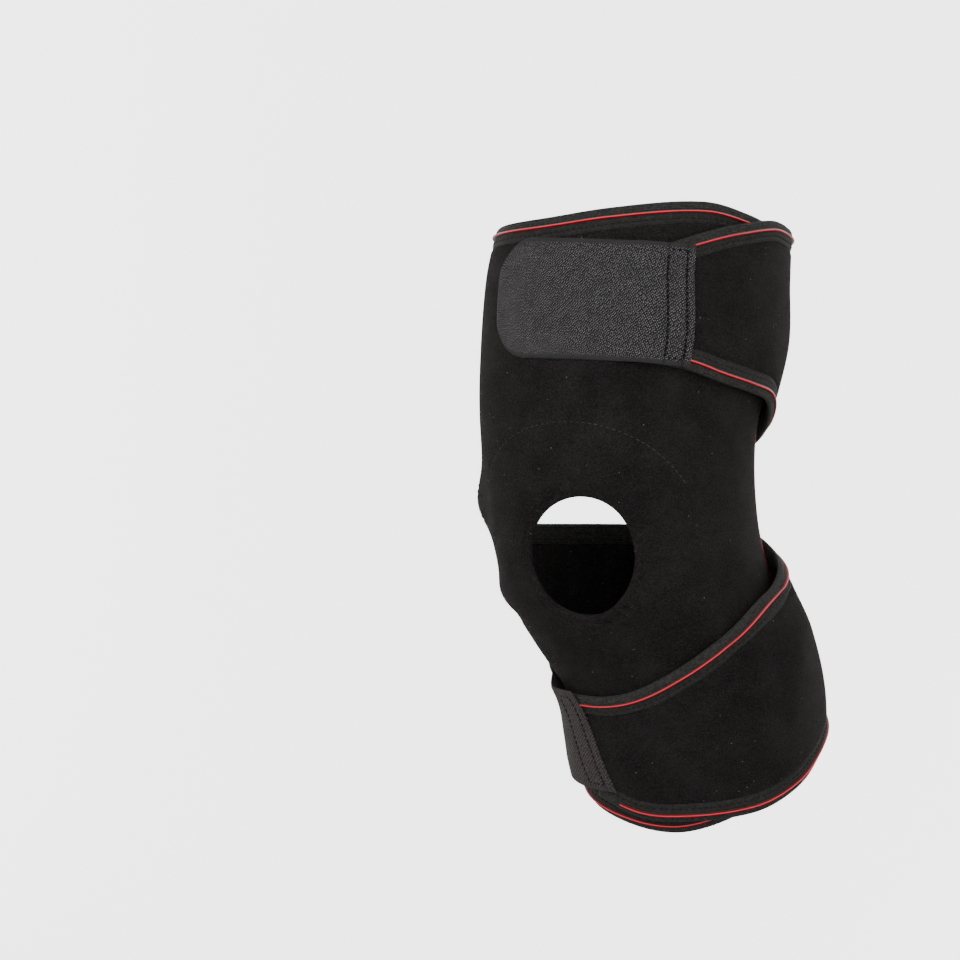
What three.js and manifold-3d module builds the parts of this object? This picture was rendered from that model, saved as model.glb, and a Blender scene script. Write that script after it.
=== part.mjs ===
// Open-patella knee sleeve of the wrap-round kind, in the form it has on a slightly bent knee.
//
// One soft sheet starts at the right side of the knee, passes over the kneecap, which shows through
// an oval opening, and goes round the left side to the back. There it forks into an upper and a
// lower wing. Both wings pass on over the right side, lie on the sheet's own beginning and end in
// a hook tab that grips the front. Folded tape binds every edge, and red piping runs along the tape.
//
// Frame: millimetres, +Z up the thigh, -Y towards the front of the knee, origin on the leg's axis
// at the height of the kneecap opening.
//
// Every piece is laid out on the surface of the leg. A place on it is a turn in degrees and a
// height in mm. Turn 0 is the front, +90 the left side as seen from the front, 180 the back and
// 270 the right side, and it runs on past 360 where the wrap laps over itself.

import * as THREE from 'three';
import Module from 'manifold-3d';

const wasm = await Module();
wasm.setup();

// Driving dimensions, mm
const REACH_UP = 160;          // opening's centre to the highest point of the top edge
const REACH_DOWN = 128;        // opening's centre to the lowest point of the bottom edge
const KNEE_WIDTH = 118;        // side to side, the sections below are shares of it
const KNEE_DEPTH = 118;        // front to back, the sections below are shares of it
const SHEET = 3.5;             // thickness of the foam and pile sheet
const GAP = 0.3;               // clearance between neighbouring pieces
const TAPE = 0.8;              // thickness of the binding tape
const FOLD_SLACK = 0.5;        // between the sheet's edge and the inside of the folded tape
const BINDING_WIDTH = 10;      // fold of the tape to its inner edge
const FOLD_ROUNDING = 0.9;     // chamfer along the tape's fold
const PIPING_WIDTH = 1.3;
const PIPING_HEIGHT = 0.8;
const PIPING_SEAT = 0.65;      // between the tape and the piping on it
const PIPING_INSET = 4.4;      // fold of the tape to the middle of the piping
const OPENING_LENGTH = 57;     // kneecap opening, along its long axis
const OPENING_WIDTH = 46;
const HEM_WIDTH = 4.5;         // turned rim round the kneecap opening
const HEM_ROUNDING = 1.3;
const CORNER_RADIUS = 17;      // rounded corners of the sheet's inner end
const LAP_SLACK = 0.4;         // slack of the lapping wings, besides what they must clear
const UPPER_TAB_LENGTH = 103;
const UPPER_TAB_WIDTH = 55;
const LOWER_TAB_LENGTH = 94;
const LOWER_TAB_WIDTH = 46.5;
const TAB_THICKNESS = 1.3;
const TAB_SEAT = 1.15;         // between a tab and the pile that it grips
const TAB_CORNER = 22;         // rounded corners of a tab's free end
const NOTCH_PUCKER = 7.5;      // how far the notch's round end stands off the leg
const NOTCH_PUCKER_REACH = 15;
const UPPER_WING_FLARE = 1;    // the wings' notch edges stand off the sheet at the right side
const LOWER_WING_FLARE = 4;
const LOWER_FLARE_DROP = 12;   // below its edge, where the lower wing stands off the most
const FLARE_REACH = 17;

// How far the cutting solids reach past the sheet, mm
const TRIM_OUTSIDE = 11;
const TRIM_OVER = 1;
const TIP_TRIM_OVER = 4;       // at the notch's round end, where nothing laps over
const PLUG_OVER = 2;
const PLUG_CROWN = 10;         // over the opening's middle, where the sheet bulges

// Driving angles, degrees
const INNER_END = -126;        // turn of the sheet's beginning
const UPPER_WING_END = 330;
const LOWER_WING_END = 407;    // at the wing's top corner
const LOWER_WING_SLANT = 16;   // how much sooner the lower wing ends at its bottom corner
const SLANT_START = 345;
const NOTCH_TURN = 91;         // centre of the notch's round end
const OPENING_TURN = 0.8;
const OPENING_TILT = 41.6;     // long axis of the opening, from upright towards the right side
const TAB_LAP_TURN = 13;       // stitched overlap of a tab on its wing
const LAP_RAMP = 32;           // turn over which the wings climb onto the sheet's beginning
const LAP_LEAD = 5;            // turn by which that climb ends before the beginning
const TAB_RAMP = 16;           // turn over which a tab comes down from its wing
const TAB_RAMP_LEAD = 1;       // turn past the wing's end at which it starts to come down
const PIPING_SHORT = 4;        // turn between a piping's end and a tab
const FLARE_TURN = 266;
const FLARE_SPREAD = 24;

// Fineness of the faceting
const TURN_STEP = 13;           // degrees
const CLOSEST_TURN = 2;         // degrees between neighbouring stations of an edge, at the least
const CLOSEST_ROW = 1;          // mm between them
const INNER_ROWS = 6;           // between the bound borders of a wing
const ROUND_STEPS = 4;
const OPENING_STEPS = 26;
const TAB_COLUMNS = 12;
const TAB_ROWS = 4;

// Outline of the leg. up: height as a share of the reach up or down. wide: half width, right:
// shift to the right side, both as shares of the width. front and back: reach from the section's
// centre, rear: shift to the back, as shares of the depth.
const LEG_SECTIONS = [
  { up: -1.60, wide: 0.371, right: 0.212, front: 0.470, back: 0.500, rear: 0.720 },
  { up: -1.20, wide: 0.404, right: 0.203, front: 0.470, back: 0.510, rear: 0.535 },
  { up: -0.95, wide: 0.418, right: 0.180, front: 0.465, back: 0.515, rear: 0.420 },
  { up: -0.75, wide: 0.431, right: 0.173, front: 0.460, back: 0.520, rear: 0.315 },
  { up: -0.50, wide: 0.452, right: 0.178, front: 0.460, back: 0.515, rear: 0.215 },
  { up: -0.30, wide: 0.496, right: 0.113, front: 0.470, back: 0.500, rear: 0.120 },
  { up: -0.15, wide: 0.493, right: 0.048, front: 0.500, back: 0.490, rear: 0.040 },
  { up: 0.10, wide: 0.485, right: -0.009, front: 0.510, back: 0.485, rear: -0.005 },
  { up: 0.35, wide: 0.508, right: -0.038, front: 0.500, back: 0.490, rear: 0.005 },
  { up: 0.60, wide: 0.555, right: -0.013, front: 0.505, back: 0.510, rear: 0.045 },
  { up: 0.80, wide: 0.543, right: -0.012, front: 0.530, back: 0.540, rear: 0.085 },
  { up: 0.97, wide: 0.523, right: 0.015, front: 0.545, back: 0.555, rear: 0.110 },
  { up: 1.15, wide: 0.545, right: 0.051, front: 0.560, back: 0.575, rear: 0.145 },
];
const SECTION_ROUNDNESS = 2.2; // exponent of the section's superellipse

// Folded edges of the sheet. turn: degrees. up: height as a share of the reach up or down.
const TOP_EDGE = [
  { turn: -126, up: 0.925 }, { turn: -109, up: 0.930 }, { turn: -71, up: 0.973 },
  { turn: -47, up: 1.000 },
  { turn: -10, up: 0.981 }, { turn: 21, up: 0.957 }, { turn: 56, up: 0.944 },
  { turn: 90, up: 0.928 }, { turn: 150, up: 0.914 }, { turn: 210, up: 0.928 },
  { turn: 258, up: 0.953 }, { turn: 278, up: 0.962 }, { turn: 302, up: 0.934 },
  { turn: 316, up: 0.904 }, { turn: 330, up: 0.865 },
];
const BOTTOM_EDGE = [
  { turn: -126, up: -0.620 }, { turn: -109, up: -0.625 }, { turn: -84, up: -0.745 },
  { turn: -60, up: -0.850 },
  { turn: -37, up: -0.942 }, { turn: -12, up: -1.000 }, { turn: 8, up: -1.000 },
  { turn: 32, up: -0.955 }, { turn: 60, up: -0.888 }, { turn: 90, up: -0.780 },
  { turn: 130, up: -0.672 }, { turn: 170, up: -0.610 }, { turn: 205, up: -0.600 },
  { turn: 232, up: -0.640 }, { turn: 255, up: -0.715 }, { turn: 268, up: -0.766 },
  { turn: 292, up: -0.848 }, { turn: 316, up: -0.914 }, { turn: 350, up: -0.941 },
  { turn: 370, up: -0.928 }, { turn: 391, up: -0.860 },
];
const NOTCH_TOP_EDGE = [
  { turn: 91, up: 0.222 }, { turn: 130, up: 0.234 }, { turn: 160, up: 0.247 },
  { turn: 190, up: 0.266 }, { turn: 220, up: 0.303 }, { turn: 240, up: 0.358 },
  { turn: 258, up: 0.425 }, { turn: 270, up: 0.456 }, { turn: 286, up: 0.473 },
  { turn: 303, up: 0.494 }, { turn: 317, up: 0.522 }, { turn: 330, up: 0.538 },
];
const NOTCH_BOTTOM_EDGE = [
  { turn: 91, up: 0.084 }, { turn: 130, up: 0.081 }, { turn: 160, up: 0.078 },
  { turn: 190, up: 0.069 }, { turn: 220, up: 0.050 }, { turn: 240, up: -0.004 },
  { turn: 255, up: -0.060 }, { turn: 268, up: -0.105 }, { turn: 277, up: -0.137 },
  { turn: 296, up: -0.201 }, { turn: 315, up: -0.273 }, { turn: 338, up: -0.379 },
  { turn: 357, up: -0.449 }, { turn: 375, up: -0.484 }, { turn: 392, up: -0.484 },
  { turn: 407, up: -0.470 },
];
// Middle lines of the hook tabs
const UPPER_TAB_LINE = [
  { turn: 317, up: 0.700 }, { turn: 344, up: 0.716 }, { turn: 383, up: 0.729 },
  { turn: 400, up: 0.731 },
];
const LOWER_TAB_LINE = [
  { turn: 377, up: -0.650 }, { turn: 407, up: -0.628 }, { turn: 430, up: -0.578 },
  { turn: 455, up: -0.502 }, { turn: 490, up: -0.412 },
];

const { clamp, degToRad, lerp, smoothstep } = THREE.MathUtils;
const steps = (count, make) => Array.from({ length: count }, (_, k) => make(k));
const bell = (distance, spread) => Math.exp(-((distance / spread) ** 2));

// Cubic curve through the given values, with slopes from their neighbours
function smoothCurve(places, values) {
  const last = places.length - 1;
  const slopes = values.map((value, k) => {
    const before = Math.max(k - 1, 0);
    const after = Math.min(k + 1, last);
    return (values[after] - values[before]) / (places[after] - places[before]);
  });
  return (place) => {
    const passed = places.filter((start) => start <= place).length;
    const k = clamp(passed - 1, 0, last - 1);
    const step = places[k + 1] - places[k];
    const s = (place - places[k]) / step;
    const rise = s * s * (3 - 2 * s);
    const leaving = s * (1 - s) * (1 - s) * step;
    const arriving = s * s * (s - 1) * step;
    const eased = lerp(values[k], values[k + 1], rise);
    return eased + slopes[k] * leaving + slopes[k + 1] * arriving;
  };
}

const reach = (share) => share * (share < 0 ? REACH_DOWN : REACH_UP);
const edgeCurve = (rows) => smoothCurve(rows.map((row) => row.turn), rows.map((row) => reach(row.up)));
const legCurve = (column, size) => smoothCurve(
  LEG_SECTIONS.map((row) => reach(row.up)),
  LEG_SECTIONS.map((row) => row[column] * size),
);

const topEdge = edgeCurve(TOP_EDGE);
const bottomEdge = edgeCurve(BOTTOM_EDGE);
const notchTop = edgeCurve(NOTCH_TOP_EDGE);
const notchBottom = edgeCurve(NOTCH_BOTTOM_EDGE);

const leg = {
  wide: legCurve('wide', KNEE_WIDTH),
  right: legCurve('right', KNEE_WIDTH),
  front: legCurve('front', KNEE_DEPTH),
  back: legCurve('back', KNEE_DEPTH),
  rear: legCurve('rear', KNEE_DEPTH),
};

// Point of the leg's surface
function legPoint(turn, height) {
  const angle = degToRad(turn);
  const side = Math.sin(angle);
  const ahead = Math.cos(angle);
  const power = Math.abs(side) ** SECTION_ROUNDNESS + Math.abs(ahead) ** SECTION_ROUNDNESS;
  const round = power ** (-1 / SECTION_ROUNDNESS);
  const depth = ahead > 0 ? leg.front(height) : leg.back(height);
  return new THREE.Vector3(
    leg.right(height) - leg.wide(height) * side * round,
    leg.rear(height) - depth * ahead * round,
    height,
  );
}

// Directions on the leg's surface: mm per degree of turn, mm per mm of height, and outwards
function legFrame(turn, height) {
  const half = 0.5;
  const around = legPoint(turn + half, height).sub(legPoint(turn - half, height));
  const upward = legPoint(turn, height + half).sub(legPoint(turn, height - half));
  const outward = new THREE.Vector3().crossVectors(upward, around).normalize();
  return { around, upward, outward };
}

const turnLength = (turn, height) => legFrame(turn, height).around.length();

// Height of the sheet's inner face over the leg: the wings lie on the sheet's own beginning and its
// piping, their notch edges flare at the right side, and the notch's round end puckers.
const LAP_LIFT = SHEET + PIPING_SEAT + PIPING_HEIGHT + GAP + LAP_SLACK;
const LAP_START = INNER_END + 360 - LAP_LEAD;
const notchMiddle = (notchTop(NOTCH_TURN) + notchBottom(NOTCH_TURN)) / 2;
const notchRadius = (notchTop(NOTCH_TURN) - notchBottom(NOTCH_TURN)) / 2;
const notchTip = NOTCH_TURN - notchRadius / turnLength(NOTCH_TURN, notchMiddle);

function sheetLift(turn, height) {
  const lap = LAP_LIFT * smoothstep(turn, LAP_START - LAP_RAMP, LAP_START);
  const flareTurn = bell(turn - FLARE_TURN, FLARE_SPREAD);
  const upper = UPPER_WING_FLARE * flareTurn * bell(height - notchTop(turn), FLARE_REACH);
  const bulge = notchBottom(turn) - LOWER_FLARE_DROP;
  const lower = LOWER_WING_FLARE * flareTurn * bell(height - bulge, FLARE_REACH);
  const across = (turn - notchTip) * turnLength(notchTip, notchMiddle);
  const pucker = NOTCH_PUCKER * bell(Math.hypot(across, height - notchMiddle), NOTCH_PUCKER_REACH);
  return lap + upper + lower + pucker;
}

// Point at a depth of the sheet: depth 0 is its inner face
function sheetPoint(turn, height, depth) {
  const { outward } = legFrame(turn, height);
  return legPoint(turn, height).addScaledVector(outward, sheetLift(turn, height) + depth);
}

function geometryOf(points, triangles) {
  const geometry = new THREE.BufferGeometry();
  const positions = points.flatMap((point) => point.toArray());
  geometry.setAttribute('position', new THREE.Float32BufferAttribute(positions, 3));
  geometry.setIndex(triangles.flat());
  return geometry;
}

function solidOf(geometry) {
  return new wasm.Manifold(new wasm.Mesh({
    numProp: 3,
    vertProperties: new Float32Array(geometry.attributes.position.array),
    triVerts: new Uint32Array(geometry.index.array),
  }));
}

function geometryFrom(solid) {
  const mesh = solid.getMesh();
  const geometry = new THREE.BufferGeometry();
  geometry.setAttribute('position', new THREE.Float32BufferAttribute(mesh.vertProperties, 3));
  geometry.setIndex(Array.from(mesh.triVerts));
  return geometry;
}

// Closed wall over four-cornered cells. A cell lists [turn, height] corners counter-clockwise as
// seen from outside, with turn running to the left. innerPoint and outerPoint place its two faces.
function thicken(cells, innerPoint, outerPoint) {
  const numbers = new Map();
  const places = [];
  const numberOf = (corner) => {
    const key = corner.map((value) => value.toFixed(5)).join();
    if (!numbers.has(key)) numbers.set(key, places.push(corner) - 1);
    return numbers.get(key);
  };
  const faces = cells.map((cell) => {
    const face = cell.map(numberOf);
    return face.filter((number, k) => number !== face[(k + 1) % face.length]);
  });
  const count = places.length;
  const points = [
    ...places.map((place) => outerPoint(...place)),
    ...places.map((place) => innerPoint(...place)),
  ];
  const triangles = [];
  const borders = new Map();
  faces.forEach((face) => {
    for (let k = 1; k < face.length - 1; k += 1) {
      triangles.push([face[0], face[k], face[k + 1]]);
      triangles.push([face[0] + count, face[k + 1] + count, face[k] + count]);
    }
    face.forEach((number, k) => {
      const next = face[(k + 1) % face.length];
      if (!borders.delete(`${next},${number}`)) borders.set(`${number},${next}`, [number, next]);
    });
  });
  borders.forEach(([from, to]) => {
    triangles.push([from, from + count, to + count]);
    triangles.push([from, to + count, to]);
  });
  return geometryOf(points, triangles);
}

// Sweep of a closed profile along a contour of [turn, height] stations. The profile's points are
// [inset, depth]: inset goes to the left of the direction of travel, counted on the surface.
function contourPoint(contour, station, inset, depth, closed) {
  const last = contour.length - 1;
  const before = contour[closed ? (station + last) % contour.length : Math.max(station - 1, 0)];
  const after = contour[closed ? (station + 1) % contour.length : Math.min(station + 1, last)];
  const [turn, height] = contour[station];
  const { around, upward, outward } = legFrame(turn, height);
  const travel = around.clone().multiplyScalar(after[0] - before[0])
    .addScaledVector(upward, after[1] - before[1]);
  const inward = travel.cross(outward).setLength(inset);
  const aa = around.dot(around);
  const au = around.dot(upward);
  const uu = upward.dot(upward);
  const turnPart = inward.dot(around);
  const heightPart = inward.dot(upward);
  const scale = 1 / (aa * uu - au * au);
  return sheetPoint(
    turn + (turnPart * uu - heightPart * au) * scale,
    height + (heightPart * aa - turnPart * au) * scale,
    depth,
  );
}

function sweep(contour, profile, { closed = false, from = 0, to = contour.length - 1 } = {}) {
  const sides = profile.length;
  const stations = steps(to - from + 1, (k) => from + k);
  const points = stations.flatMap((station) => profile.map(
    ([inset, depth]) => contourPoint(contour, station, inset, depth, closed),
  ));
  const triangles = [];
  const spans = closed ? stations.length : stations.length - 1;
  for (let span = 0; span < spans; span += 1) {
    const here = span * sides;
    const there = ((span + 1) % stations.length) * sides;
    for (let side = 0; side < sides; side += 1) {
      const next = (side + 1) % sides;
      triangles.push([here + side, there + side, there + next]);
      triangles.push([here + side, there + next, here + next]);
    }
  }
  if (!closed) {
    const outline = profile.map(([inset, depth]) => new THREE.Vector2(inset, depth));
    const end = (stations.length - 1) * sides;
    THREE.ShapeUtils.triangulateShape(outline, []).forEach(([a, b, c]) => {
      triangles.push([a, b, c]);
      triangles.push([end + a, end + c, end + b]);
    });
  }
  return geometryOf(points, triangles);
}

// Turns of the sheet's columns: even steps, and finer ones round the notch's end
function evenTurns(from, to) {
  const count = Math.ceil((to - from) / TURN_STEP);
  return steps(count + 1, (k) => lerp(from, to, k / count));
}

const roundTurns = steps(ROUND_STEPS, (k) => {
  const angle = ((k + 1) / ROUND_STEPS) * (Math.PI / 2);
  return lerp(notchTip, NOTCH_TURN, 1 - Math.cos(angle));
});
const BORDER = BINDING_WIDTH + 2 * GAP;
const borderTurn = (turn, height) => BORDER / turnLength(turn, height);
const bodyTurns = [
  INNER_END,
  ...evenTurns(INNER_END + borderTurn(INNER_END, 0), notchTip - borderTurn(notchTip, notchMiddle)),
  notchTip,
];
const upperTurns = [...roundTurns, ...evenTurns(NOTCH_TURN, UPPER_WING_END).slice(1)];
const lowerTurns = [...roundTurns, ...evenTurns(NOTCH_TURN, LOWER_WING_END).slice(1)];

// The notch's edges close in a half circle at its round end
function notchEdge(turn, side) {
  const along = Math.max(NOTCH_TURN - turn, 0) / (NOTCH_TURN - notchTip);
  const open = notchRadius * Math.sqrt(Math.max(1 - along * along, 0));
  if (turn < NOTCH_TURN) return notchMiddle + side * open;
  return side > 0 ? notchTop(turn) : notchBottom(turn);
}

// Place in one half of the sheet: share 0 is its lower edge, 1 its upper edge. The lower wing's end
// slants, so its columns lean the more, the nearer they are to it.
function lowerHalf(turn, share) {
  const nearness = clamp((turn - SLANT_START) / (LOWER_WING_END - SLANT_START), 0, 1);
  const leaning = turn - LOWER_WING_SLANT * (1 - share) * nearness;
  return [leaning, lerp(bottomEdge(leaning), notchEdge(leaning, -1), share)];
}

function upperHalf(turn, share) {
  return [turn, lerp(notchEdge(turn, 1), topEdge(turn), share)];
}

// One column of a half: its bound borders, and even rows between them
function columnOf(turn, half) {
  const border = BORDER / (half(turn, 1)[1] - half(turn, 0)[1]);
  const inner = steps(INNER_ROWS + 1, (row) => lerp(border, 1 - border, row / INNER_ROWS));
  return [0, ...inner, 1].map((share) => half(turn, share));
}

function cellsOf(turns, half) {
  const columns = turns.map((turn) => columnOf(turn, half));
  return columns.slice(1).flatMap((column, k) => column.slice(1).map((corner, row) => [
    columns[k][row],
    columns[k][row + 1],
    corner,
    column[row],
  ]));
}

// Contours, travelled with the sheet on the left

// Quarter round at the sheet's beginning, between two directions from its centre
function cornerStations(height, fromAngle, toAngle) {
  const radiusTurn = CORNER_RADIUS / turnLength(INNER_END, height);
  return steps(ROUND_STEPS + 1, (k) => {
    const angle = degToRad(lerp(fromAngle, toAngle, k / ROUND_STEPS));
    return [
      INNER_END + radiusTurn * (1 + Math.cos(angle)),
      height + CORNER_RADIUS * Math.sin(angle),
    ];
  });
}

function outerContour() {
  const topCentre = topEdge(INNER_END) - CORNER_RADIUS;
  const bottomCentre = bottomEdge(INNER_END) + CORNER_RADIUS;
  const topCorner = cornerStations(topCentre, 90, 180);
  const bottomCorner = cornerStations(bottomCentre, 180, 270);
  const cornerTurn = topCorner[0][0];
  const between = [...columnOf(INNER_END, upperHalf), ...columnOf(INNER_END, lowerHalf)]
    .map(([, height]) => height)
    .filter((height) => height < topCentre - CLOSEST_ROW && height > bottomCentre + CLOSEST_ROW)
    .sort((a, b) => b - a)
    .filter((height, k, all) => k === 0 || all[k - 1] - height > CLOSEST_ROW);
  const past = (turn) => turn > cornerTurn + CLOSEST_TURN;
  const top = [...bodyTurns, ...upperTurns].filter(past).reverse();
  const bottom = [...bodyTurns, ...lowerTurns].filter(past);
  const joined = (turn) => smoothstep(turn, cornerTurn, cornerTurn + TURN_STEP);
  return [
    ...top.map((turn) => [turn, lerp(topEdge(INNER_END), topEdge(turn), joined(turn))]),
    ...topCorner,
    ...between.map((height) => [INNER_END, height]),
    ...bottomCorner,
    ...bottom.map((turn) => {
      const [leaning, edge] = lowerHalf(turn, 0);
      return [leaning, lerp(bottomEdge(INNER_END), edge, joined(turn))];
    }),
  ];
}

function notchContour() {
  return [
    ...[...lowerTurns].reverse().map((turn) => lowerHalf(turn, 1)),
    [notchTip, notchMiddle],
    ...upperTurns.map((turn) => upperHalf(turn, 0)),
  ];
}

// The kneecap opening's rim, travelled with the sheet on the left
function openingContour() {
  const tilt = degToRad(OPENING_TILT);
  const perDegree = turnLength(OPENING_TURN, 0);
  return steps(OPENING_STEPS, (k) => {
    const angle = -(k / OPENING_STEPS) * 2 * Math.PI;
    const across = (OPENING_WIDTH / 2) * Math.cos(angle);
    const along = (OPENING_LENGTH / 2) * Math.sin(angle);
    return [
      OPENING_TURN + (Math.cos(tilt) * across - Math.sin(tilt) * along) / perDegree,
      Math.sin(tilt) * across + Math.cos(tilt) * along,
    ];
  });
}

// A contour carried on past its two ends, so that cuts along it run clear of the sheet
function prolonged(contour) {
  const beyond = ([turn, height], [before, low]) => [2 * turn - before, 2 * height - low];
  const last = contour.length - 1;
  return [
    beyond(contour[0], contour[1]),
    ...contour,
    beyond(contour[last], contour[last - 1]),
  ];
}

const outer = prolonged(outerContour());
const notch = prolonged(notchContour());
const opening = openingContour();

// Profiles as [inset, depth]

const TAPE_PROFILE = [
  [BINDING_WIDTH, SHEET],
  [FOLD_ROUNDING, SHEET],
  [0, SHEET / 2],
  [FOLD_ROUNDING, 0],
  [BINDING_WIDTH, 0],
  [BINDING_WIDTH, TAPE],
  [TAPE, TAPE],
  [TAPE, SHEET - TAPE],
  [BINDING_WIDTH, SHEET - TAPE],
];
// What the sheet loses to the tape: the tape's own room and its clearance
const ROOM = TAPE + FOLD_SLACK;
const trimProfile = (over) => [
  [BINDING_WIDTH + GAP, SHEET + over],
  [0, SHEET + over],
  [-TRIM_OUTSIDE, SHEET + over],
  [-TRIM_OUTSIDE, -over],
  [0, -over],
  [BINDING_WIDTH + GAP, -over],
  [BINDING_WIDTH + GAP, ROOM],
  [ROOM, ROOM],
  [ROOM, SHEET - ROOM],
  [BINDING_WIDTH + GAP, SHEET - ROOM],
];
const PIPING_PROFILE = [
  [PIPING_INSET + PIPING_WIDTH / 2, SHEET + PIPING_SEAT],
  [PIPING_INSET + PIPING_WIDTH / 4, SHEET + PIPING_SEAT + PIPING_HEIGHT],
  [PIPING_INSET - PIPING_WIDTH / 4, SHEET + PIPING_SEAT + PIPING_HEIGHT],
  [PIPING_INSET - PIPING_WIDTH / 2, SHEET + PIPING_SEAT],
];
const HEM_PROFILE = [
  [HEM_WIDTH, SHEET],
  [HEM_ROUNDING, SHEET],
  [0, SHEET - HEM_ROUNDING],
  [0, HEM_ROUNDING],
  [HEM_ROUNDING, 0],
  [HEM_WIDTH, 0],
];

// Plug that cuts the sheet where the kneecap opening and its hem lie
function openingPlug() {
  const rim = (depth) => opening.map((_, k) => contourPoint(opening, k, HEM_WIDTH + GAP, depth, true));
  const count = opening.length;
  const points = [
    ...rim(SHEET + PLUG_OVER),
    ...rim(-PLUG_OVER),
    sheetPoint(OPENING_TURN, 0, SHEET + PLUG_CROWN),
    sheetPoint(OPENING_TURN, 0, -PLUG_OVER),
  ];
  const triangles = opening.flatMap((_, k) => {
    const next = (k + 1) % count;
    return [
      [k, next, 2 * count],
      [next + count, k + count, 2 * count + 1],
      [k, k + count, next + count],
      [k, next + count, next],
    ];
  });
  return geometryOf(points, triangles);
}

function wrapSheet() {
  const cells = [
    ...cellsOf([...bodyTurns, ...lowerTurns], lowerHalf),
    ...cellsOf([...bodyTurns, ...upperTurns], upperHalf),
  ];
  const innerFace = (turn, height) => sheetPoint(turn, height, 0);
  const outerFace = (turn, height) => sheetPoint(turn, height, SHEET);
  const tip = notch.findIndex(([turn]) => turn === notchTip);
  const tipSpan = { from: tip - ROUND_STEPS - 1, to: tip + ROUND_STEPS + 1 };
  return geometryFrom(solidOf(thicken(cells, innerFace, outerFace))
    .subtract(solidOf(sweep(outer, trimProfile(TRIM_OVER))))
    .subtract(solidOf(sweep(notch, trimProfile(TRIM_OVER))))
    .subtract(solidOf(sweep(notch, trimProfile(TIP_TRIM_OVER), tipSpan)))
    .subtract(solidOf(openingPlug())));
}

const binding = (contour) => sweep(contour, TAPE_PROFILE, { from: 1, to: contour.length - 2 });

// Red piping: it ends short of both hook tabs, each end given by its turn and its folded edge
function pipingAlong(contour, first, final) {
  const turns = contour.map(([turn]) => turn);
  const farthest = turns.indexOf(Math.min(...turns));
  return sweep([
    [first.turn, first.edge(first.turn)],
    ...contour.slice(0, farthest).filter(([turn]) => turn < first.turn - CLOSEST_TURN),
    ...contour.slice(farthest).filter(([turn]) => turn < final.turn - CLOSEST_TURN),
    [final.turn, final.edge(final.turn)],
  ], PIPING_PROFILE);
}

const UPPER_PIPING_END = UPPER_WING_END - TAB_LAP_TURN - PIPING_SHORT;
const LOWER_PIPING_END = LOWER_WING_END - TAB_LAP_TURN - PIPING_SHORT;

function edgePiping() {
  const first = { turn: UPPER_PIPING_END, edge: topEdge };
  const final = { turn: LOWER_PIPING_END - LOWER_WING_SLANT, edge: bottomEdge };
  return pipingAlong(outer, first, final);
}

function notchPiping() {
  const first = { turn: LOWER_PIPING_END, edge: notchBottom };
  const final = { turn: UPPER_PIPING_END, edge: notchTop };
  return pipingAlong(notch, first, final);
}

// Degrees of turn that a line of the given length covers from its start
function turnSpan(pointAt, start, length) {
  const walk = (turn) => pointAt(turn).distanceTo(pointAt(turn + 1));
  let turn = start;
  let left = length;
  while (left > walk(turn)) {
    left -= walk(turn);
    turn += 1;
  }
  return turn + left / walk(turn) - start;
}

// Hook tab: stitched on its wing's end, then down onto the sheet under it
function hookTab({ wingEnd, slant, line, length, width }) {
  const start = wingEnd - TAB_LAP_TURN;
  const drop = wingEnd + TAB_RAMP_LEAD;
  const middle = edgeCurve(line);
  const facePoint = (turn, height, depth) => {
    const lift = LAP_LIFT * (1 - smoothstep(turn, drop, drop + TAB_RAMP));
    const outward = legFrame(turn, height).outward;
    return legPoint(turn, height).addScaledVector(outward, lift + SHEET + TAB_SEAT + depth);
  };
  const span = turnSpan((turn) => facePoint(turn, middle(turn), 0), start, length);
  const roundShare = TAB_CORNER / length;
  const straight = steps(TAB_COLUMNS, (k) => ((1 - roundShare) * k) / TAB_COLUMNS);
  const round = steps(ROUND_STEPS + 1, (k) => {
    const angle = (k / ROUND_STEPS) * (Math.PI / 2);
    return 1 - roundShare * (1 - Math.sin(angle));
  });
  const place = (share, across) => {
    const fromEnd = Math.max(1 - (1 - share) / roundShare, 0);
    const half = width / 2 - TAB_CORNER * (1 - Math.sqrt(Math.max(1 - fromEnd * fromEnd, 0)));
    const turn = start + span * share - slant * (1 - share) * (0.5 - across / 2);
    return [turn, middle(turn) + half * across];
  };
  const shares = [...straight, ...round];
  const cells = shares.slice(1).flatMap((share, k) => steps(TAB_ROWS, (row) => {
    const low = (2 * row) / TAB_ROWS - 1;
    const high = (2 * (row + 1)) / TAB_ROWS - 1;
    return [place(shares[k], low), place(shares[k], high), place(share, high), place(share, low)];
  }));
  const innerFace = (turn, height) => facePoint(turn, height, 0);
  const outerFace = (turn, height) => facePoint(turn, height, TAB_THICKNESS);
  return thicken(cells, innerFace, outerFace);
}

// Materials
const pile = new THREE.MeshStandardMaterial({ color: 0x1e1c1d, roughness: 0.95, metalness: 0 });
const tape = new THREE.MeshStandardMaterial({ color: 0x2e302c, roughness: 0.8, metalness: 0 });
const piping = new THREE.MeshStandardMaterial({ color: 0xc8404a, roughness: 0.55, metalness: 0 });
const hook = new THREE.MeshStandardMaterial({ color: 0x4a4a4c, roughness: 0.85, metalness: 0 });

function piece(name, geometry, material) {
  const mesh = new THREE.Mesh(geometry, material);
  mesh.name = name;
  return mesh;
}

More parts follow.
